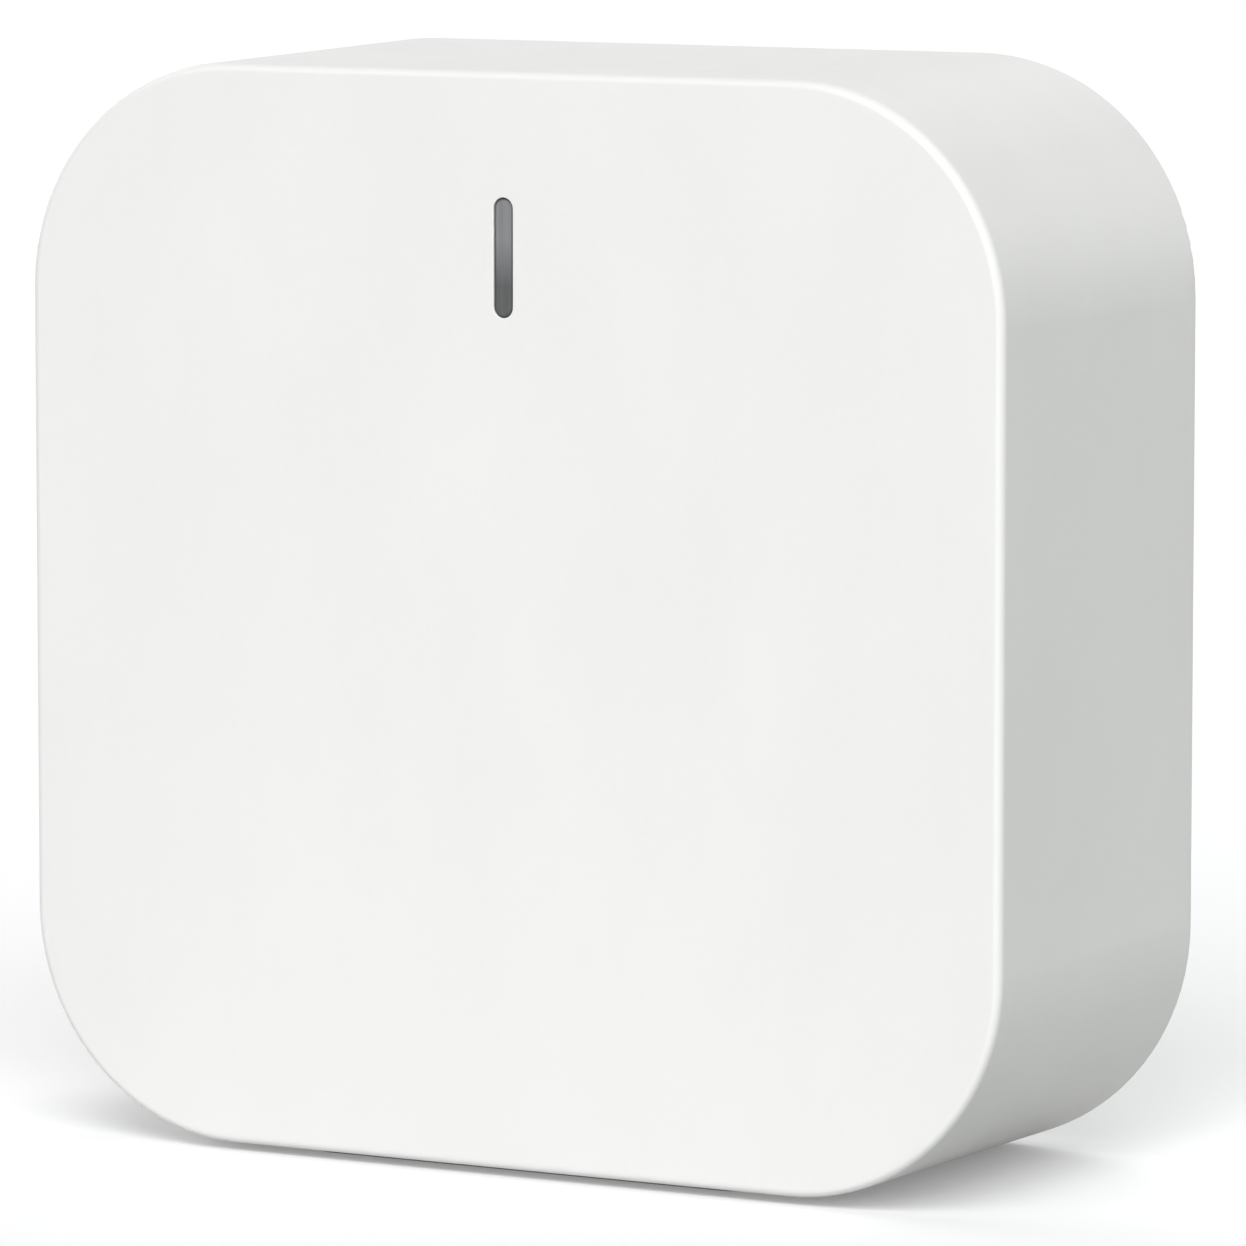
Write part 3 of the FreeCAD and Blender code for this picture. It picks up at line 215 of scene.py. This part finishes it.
def moulded_plastic(name, colour, grain_mm=0.12, depth_mm=0.006, roughness=0.42, mottle=0.012):
    """Spark-eroded moulded plastic: fine grain, faint flow marks, rounded edges polished by handling, and a
    painted highlight that colours those rounded edges paler.
    """
    p = Paint(name)
    flow = p.noise(14, 3, 0.55, (1, 1, 2.2))
    speckle = p.noise(0.5, 2, 0.6)
    tone = p.math("MULTIPLY_ADD", speckle, 0.3, p.math("MULTIPLY", flow, 0.7))
    body = p.blend(p.spread(tone), tint(colour, 1 - 2 * mottle), tint(colour, 1 + mottle))
    # painted highlight: the rounded edges between the faces are coloured paler; the same mask also makes
    # them less rough
    edge_highlight_and_polish = p.band(p.facing("Y"), (0.08, 0.4), (0.96, 0.999))
    p.set(Base_Color=p.blend(edge_highlight_and_polish, body, tint(colour, 1.05)))
    worn = p.math("MULTIPLY", edge_highlight_and_polish, p.ramp(p.noise(2.5, 3, 0.6), 0.35, 0.65, 0.04, 0.1))
    patches = p.spread(p.noise(4, 3, 0.6), roughness - 0.03, roughness + 0.04)
    p.set(Roughness=p.math("SUBTRACT", patches, worn), Specular_IOR_Level=0.45)
    coarse = p.bump(p.noise(grain_mm * 6, 2, 0.5), depth_mm * 2, 0.25)
    p.bump(p.noise(grain_mm, 2, 0.6), depth_mm, 0.35, coarse)
    return p.material


def sheet_metal(name, colour, roughness=0.32, brushed=(1, 1, 1), depth_mm=0.004, stain=0.8):
    """Plated or bare metal: brushed or rolled lines, faint stains and small scratches."""
    p = Paint(name)
    lines = p.noise(0.15, 3, 0.7, brushed)
    stains = p.noise(3, 4, 0.6)
    shade = p.blend(p.ramp(stains, 0.35, 0.7), colour, tint(colour, stain))
    p.set(Base_Color=p.blend(p.ramp(lines, 0.3, 0.8, 0.0, 0.35), shade, tint(colour, 0.7)), Metallic=1.0)
    scratch = p.ramp(p.noise(0.25, 2, 0.5, (1, 1, 22)), 0.66, 0.7)
    uneven = p.math("ADD", lines, p.math("MULTIPLY", stains, 0.6))
    dull = p.ramp(uneven, 0.5, 1.1, roughness - 0.08, roughness + 0.12)
    p.set(Roughness=p.math("MULTIPLY_ADD", scratch, 0.1, dull))
    p.bump(p.math("SUBTRACT", lines, scratch), depth_mm, 0.4)
    return p.material


def silicone(name, colour):
    """Matt silicone with a fine skin, cross ribs that grip, and a little dust in the grooves."""
    p = Paint(name)
    skin = p.noise(0.2, 3, 0.65)
    dust = p.ramp(p.noise(1.3, 4, 0.7), 0.5, 0.75)
    p.set(Base_Color=p.blend(p.math("MULTIPLY", dust, 0.35), tint(colour, 0.95), tint(colour, 1.7)))
    p.set(Roughness=p.spread(skin, 0.62, 0.8), Specular_IOR_Level=0.35)
    ribs = p.bump(p.wave(p.axis("X"), 5.2), 0.04, 0.5)
    p.bump(skin, 0.02, 0.6, ribs)
    return p.material


def solder_mask(name, colour):
    """A circuit board: traces under green mask, tinned vias, white unlettered legend, woven edge."""
    p = Paint(name)
    lanes = p.ramp(p.noise(0.45, 1, 0.5, (26, 1, 1)), 0.53, 0.55)
    columns = p.ramp(p.noise(0.45, 1, 0.5, (1, 1, 26)), 0.53, 0.55)
    district = p.ramp(p.noise(9, 1, 0.5), 0.49, 0.51)
    copper = p.ramp(district, 0.0, 1.0, lanes, columns)
    mask = p.blend(copper, tint(colour, 0.85), tint(colour, 1.7))
    from_via = p.cells(2.4)
    via = p.ramp(from_via, 0.1, 0.13, 1.0, 0.0)
    # painted shade: each via's hole is coloured nearly black
    hole_shade = p.ramp(from_via, 0.045, 0.055, 1.0, 0.0)
    tinned = p.blend(via, mask, (0.72, 0.70, 0.66))
    legend = p.band(p.cells(8.5, "CHEBYCHEV"), (0.33, 0.345), (0.36, 0.365))
    printed = p.blend(p.math("MULTIPLY", legend, 0.85), tinned, (0.85, 0.86, 0.84))
    with_hole_shade = p.blend(hole_shade, printed, (0.01, 0.01, 0.01))
    weave = p.blend(p.noise(0.3, 2, 0.6, (1, 1, 4)), (0.42, 0.40, 0.22), (0.25, 0.27, 0.12))
    edge = p.ramp(p.facing("Y"), 0.4, 0.6, 1.0, 0.0)
    p.set(Base_Color=p.blend(edge, with_hole_shade, weave), Metallic=via)
    p.set(Roughness=p.spread(p.noise(2, 3, 0.6), 0.26, 0.42))
    p.bump(p.math("ADD", copper, via), 0.03, 0.5)
    return p.material


def chip_epoxy(name, colour):
    """Moulded epoxy with its pale filler grains, duller in places."""
    p = Paint(name)
    filler = p.noise(0.09, 2, 0.7)
    cloud = p.noise(3, 2, 0.5)
    p.set(Base_Color=p.blend(p.ramp(filler, 0.45, 0.75), colour, tint(colour, 2.1)))
    p.set(Roughness=p.ramp(cloud, 0.35, 0.65, 0.48, 0.62))
    p.bump(filler, 0.008, 0.5)
    return p.material


def turned_plastic(name, colour, x_mm, z_mm):
    """A small round moulded cap with fine rings turned into its mould, round an axis along Y."""
    p = Paint(name)
    across = p.math("SUBTRACT", p.axis("X"), x_mm)
    upwards = p.math("SUBTRACT", p.axis("Z"), z_mm)
    smudge = p.ramp(p.noise(1.5, 3, 0.6), 0.35, 0.7)
    p.set(Base_Color=p.blend(smudge, colour, tint(colour, 0.93)))
    p.set(Roughness=p.ramp(smudge, 0.0, 1.0, 0.38, 0.5))
    rings = p.bump(p.wave(p.length(across, upwards), 26.0), 0.012, 0.35)
    p.bump(p.noise(0.15, 2, 0.6), 0.006, 0.4, rings)
    return p.material


# The light bar's lens, in millimetres: how far its hidden flange reaches past its window, where its
# painted reflection starts and stops turning its tone paler, up from its middle, and where its rim of
# painted shade starts and is darkest, in from its outline.
LENS_FLANGE = 0.85
LENS_REFLECTION_FADE = (-2.4, 1.6)
LENS_SHADE_RIM = (0.2, 0.05)
# the lens's tone at the foot and at the top of the painted reflection
LENS_DARK = (0.104, 0.105, 0.108)
LENS_REFLECTION_PALE = (0.252, 0.255, 0.262)


def smoked_lens(name, middle_z, half_length, half_width):
    """The light bar: smoked plastic with a painted reflection that turns it paler towards its top, finely
    streaked, with a darker rim of painted shade.
    """
    p = Paint(name)
    height = p.axis("Z")
    # painted reflection: the tone turns paler towards the top of the lens
    painted_reflection = p.ramp(height, middle_z + LENS_REFLECTION_FADE[0], middle_z + LENS_REFLECTION_FADE[1])
    tone = p.blend(painted_reflection, LENS_DARK, LENS_REFLECTION_PALE)
    streaks = p.noise(0.15, 2, 0.6, (1, 1, 60))
    streaked = p.blend(p.spread(streaks, 0.0, 0.36), tone, (0.04, 0.04, 0.042))
    past_straight = p.math("SUBTRACT", p.away(height, middle_z), half_length - half_width)
    from_spine = p.length(p.axis("X"), p.math("MAXIMUM", past_straight, 0.0))
    # painted shade: a dark rim just inside the lens's outline
    painted_rim_shade = p.ramp(from_spine, half_width - LENS_SHADE_RIM[0], half_width - LENS_SHADE_RIM[1], 0.0, 0.85)
    p.set(Base_Color=p.blend(painted_rim_shade, streaked, (0.02, 0.02, 0.022)))
    p.set(Roughness=p.spread(streaks, 0.24, 0.34), Specular_IOR_Level=0.4)
    p.bump(streaks, 0.004, 0.3)
    return p.material


def milky_acrylic(name, colour):
    """Clear moulded acrylic with a little haze."""
    p = Paint(name)
    haze = p.noise(1.2, 3, 0.6)
    p.set(Base_Color=p.blend(haze, colour, tint(colour, 0.86)), Roughness=p.spread(haze, 0.12, 0.24))
    p.set(Subsurface_Weight=0.3, Subsurface_Radius=(0.002, 0.002, 0.002), Coat_Weight=0.3)
    p.bump(p.noise(0.6, 2, 0.5), 0.01, 0.3)
    return p.material


def blank_label(name, colour, middle_z, half_width, half_height):
    """A blank film label: a thin printed border and faint lamination marks."""
    p = Paint(name)
    from_side = p.math("SUBTRACT", half_width, p.math("ABSOLUTE", p.axis("X")))
    from_end = p.math("SUBTRACT", half_height, p.away(p.axis("Z"), middle_z))
    border = p.band(p.math("MINIMUM", from_side, from_end), (0.95, 1.0), (1.2, 1.25))
    film = p.noise(5, 3, 0.6)
    p.set(Base_Color=p.blend(border, p.blend(film, colour, tint(colour, 0.95)), (0.35, 0.36, 0.38)))
    p.set(Roughness=p.spread(film, 0.3, 0.4))
    p.bump(p.noise(0.8, 2, 0.5), 0.006, 0.3)
    return p.material


def ribbed_film(name, colour, stripe, pitch_mm):
    """Flat cable: flattened conductors showing through clear film."""
    p = Paint(name)
    wires = p.ramp(p.wave(p.axis("X"), 2 * math.pi / pitch_mm), -0.2, 0.3)
    dull = p.noise(0.8, 3, 0.6)
    p.set(Base_Color=p.blend(wires, p.blend(dull, colour, tint(colour, 0.9)), stripe))
    p.set(Roughness=p.spread(dull, 0.25, 0.36), Metallic=p.math("MULTIPLY", wires, 0.5))
    p.bump(wires, 0.05, 0.6)
    return p.material


# The small capacitors, in millimetres.
CAPACITOR_PITCH = 2.9
CAPACITOR_LENGTH = 1.6


def chip_capacitors(name, body, first_x):
    """Rows of ceramic capacitors with tinned ends, from the row's low end first_x."""
    p = Paint(name)
    half = CAPACITOR_LENGTH / 2
    steps = p.math("DIVIDE", p.math("SUBTRACT", p.axis("X"), first_x), CAPACITOR_PITCH)
    along = p.math("MULTIPLY", p.math("FRACT", steps), CAPACITOR_PITCH)
    tinned = p.ramp(p.away(along, half), 0.59 * half, 0.65 * half)
    grain = p.noise(0.12, 3, 0.6)
    p.set(Base_Color=p.blend(tinned, p.blend(grain, body, tint(body, 0.8)), (0.78, 0.77, 0.74)))
    p.set(Metallic=tinned, Roughness=p.spread(grain, 0.34, 0.46))
    p.bump(p.math("ADD", tinned, p.math("MULTIPLY", grain, 0.2)), 0.03, 0.5)
    return p.material


# Floor, in metres. An unseen sheet just under it sets how much light comes back up at the hub: more from
# a strip in front and behind, which fades out between the two distances at STRIP_EDGE, in millimetres.
FLOOR_HALF = 6.0
FLOOR_SHADE = (0.89, 0.89, 0.90)
FLOOR_GLOW = 0.18
BOUNCE_DEPTH = 0.2 * MM
BOUNCE_STRIP = (0.54, 0.54, 0.54)
BOUNCE_BESIDE = (0.36, 0.37, 0.36)
STRIP_EDGE = (35, 60)


def level_sheet(name, height):
    mesh = bpy.data.meshes.new(name)
    corners = [(-1, -1), (1, -1), (1, 1), (-1, 1)]
    mesh.from_pydata([(x * FLOOR_HALF, y * FLOOR_HALF, height) for x, y in corners], [], [(0, 1, 2, 3)])
    sheet = bpy.data.objects.new(name, mesh)
    bpy.context.scene.collection.objects.link(sheet)
    p = Paint(name)
    p.set(Roughness=0.9, Specular_IOR_Level=0.0)
    mesh.materials.append(p.material)
    return sheet, p


def make_floor():
    floor, p = level_sheet("floor", 0.0)
    p.set(Base_Color=FLOOR_SHADE, Emission_Color=WHITE, Emission_Strength=FLOOR_GLOW)
    floor.visible_diffuse = False
    floor.visible_shadow = False


def make_bounce():
    bounce, p = level_sheet("floor_bounce", -BOUNCE_DEPTH)
    beside = p.ramp(p.math("ABSOLUTE", p.axis("X")), *STRIP_EDGE)
    p.set(Base_Color=p.blend(beside, BOUNCE_STRIP, BOUNCE_BESIDE))
    bounce.visible_camera = False
    bounce.visible_glossy = False


def paint(material, *names):
    for name in names:
        mesh = NODES[name].data
        mesh.materials.clear()
        mesh.materials.append(material)


def middle_and_half(node):
    """A node's middle and half its size, in millimetres."""
    low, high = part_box(node)
    low, high = Vector(low) / MM, Vector(high) / MM
    return (low + high) / 2, (high - low) / 2


def paint_housing():
    paint(moulded_plastic("housing_white", (0.80, 0.80, 0.79)), "front_shell")
    cover = moulded_plastic("cover_white", (0.76, 0.765, 0.76), grain_mm=0.2, depth_mm=0.01, roughness=0.5)
    paint(cover, "rear_cover")
    middle, _ = middle_and_half("reset_button")
    paint(turned_plastic("button_grey", (0.50, 0.51, 0.52), middle.x, middle.z), "reset_button")
    middle, half = middle_and_half("rating_label")
    paint(blank_label("label_film", (0.72, 0.72, 0.71), middle.z, half.x, half.z), "rating_label")
    paint(silicone("foot_silicone", (0.20, 0.20, 0.205)), "front_foot", "rear_foot")


def paint_light_bar():
    middle, half = middle_and_half("light_bar_lens")
    window = half - Vector((LENS_FLANGE, 0.0, LENS_FLANGE))
    paint(smoked_lens("bar_smoke", middle.z, window.z, window.x), "light_bar_lens")
    paint(milky_acrylic("guide_clear", (0.84, 0.86, 0.86)), "light_guide")
    paint(milky_acrylic("lamp_body", (0.86, 0.83, 0.66)), "status_leds")
    paint(ribbed_film("ribbon_film", (0.72, 0.72, 0.74), (0.62, 0.61, 0.58), 0.8), "led_ribbon_cable")


def paint_inner_plastics():
    black = moulded_plastic("black_plastic", (0.03, 0.03, 0.032), grain_mm=0.15, depth_mm=0.008,
                            roughness=0.5, mottle=0.1)
    paint(black, "light_baffle", "network_jack_housing", "usb_c_tongue", "switch_base", "switch_plunger")
    ivory = moulded_plastic("connector_ivory", (0.70, 0.66, 0.56), grain_mm=0.2, roughness=0.4, mottle=0.03)
    paint(ivory, "led_board_connector", "main_board_connector")
    lead = moulded_plastic("lead_black", (0.035, 0.035, 0.038), grain_mm=0.3, depth_mm=0.004,
                           roughness=0.34, mottle=0.08)
    paint(lead, "antenna_lead")
    paint(silicone("thermal_pad", (0.30, 0.36, 0.46)), "thermal_pads")


def paint_boards():
    paint(solder_mask("board_green", (0.012, 0.10, 0.045)), "main_board", "led_board", "radio_module_board")
    paint(chip_epoxy("chip_black", (0.03, 0.03, 0.033)), "processor", "memory_chip", "network_chip",
          "power_regulator", "flash_chip", "network_transformer")
    paint(chip_epoxy("ferrite_grey", (0.09, 0.09, 0.095)), "power_inductor")
    low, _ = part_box("small_capacitors")
    paint(chip_capacitors("capacitor_tan", (0.45, 0.33, 0.22), low[0] / MM), "small_capacitors")


def paint_metals():
    steel = sheet_metal("tinned_steel", (0.74, 0.74, 0.72), roughness=0.34, brushed=(1, 1, 30))
    paint(steel, "shield_frame", "shield_lid", "network_jack_shield", "radio_module_can",
          "switch_cover_plate", "switch_legs", "network_transformer_legs")
    nickel = sheet_metal("nickel_shell", (0.64, 0.62, 0.58), roughness=0.26, brushed=(1, 24, 1))
    paint(nickel, "usb_c_shell", "clock_crystals", "switch_dome")
    zinc = sheet_metal("screw_zinc", (0.60, 0.60, 0.60), roughness=0.36, brushed=(4, 1, 1),
                       depth_mm=0.006, stain=0.7)
    paint(zinc, "case_screws", "board_screws", "led_board_screws")
    gold = sheet_metal("gold_contact", (0.86, 0.63, 0.27), roughness=0.22, brushed=(1, 14, 1),
                       depth_mm=0.002, stain=0.9)
    paint(gold, "network_jack_contacts", "usb_c_contacts", "coax_socket", "coax_plug")
    aluminium = sheet_metal("sink_aluminium", (0.74, 0.75, 0.76), roughness=0.4, brushed=(1, 1, 40),
                            depth_mm=0.01, stain=0.9)
    paint(aluminium, "heat_sink")
    can = sheet_metal("capacitor_can", (0.78, 0.79, 0.80), roughness=0.24, brushed=(1, 20, 1),
                      depth_mm=0.003, stain=0.92)
    paint(can, "bulk_capacitors")
    copper = sheet_metal("antenna_copper", (0.78, 0.44, 0.26), roughness=0.34, brushed=(1, 1, 10),
                         depth_mm=0.002, stain=0.75)
    paint(copper, "antenna_foil")


set_camera()
set_lights()
set_room()
make_floor()
make_bounce()
paint_housing()
paint_light_bar()
paint_inner_plastics()
paint_boards()
paint_metals()
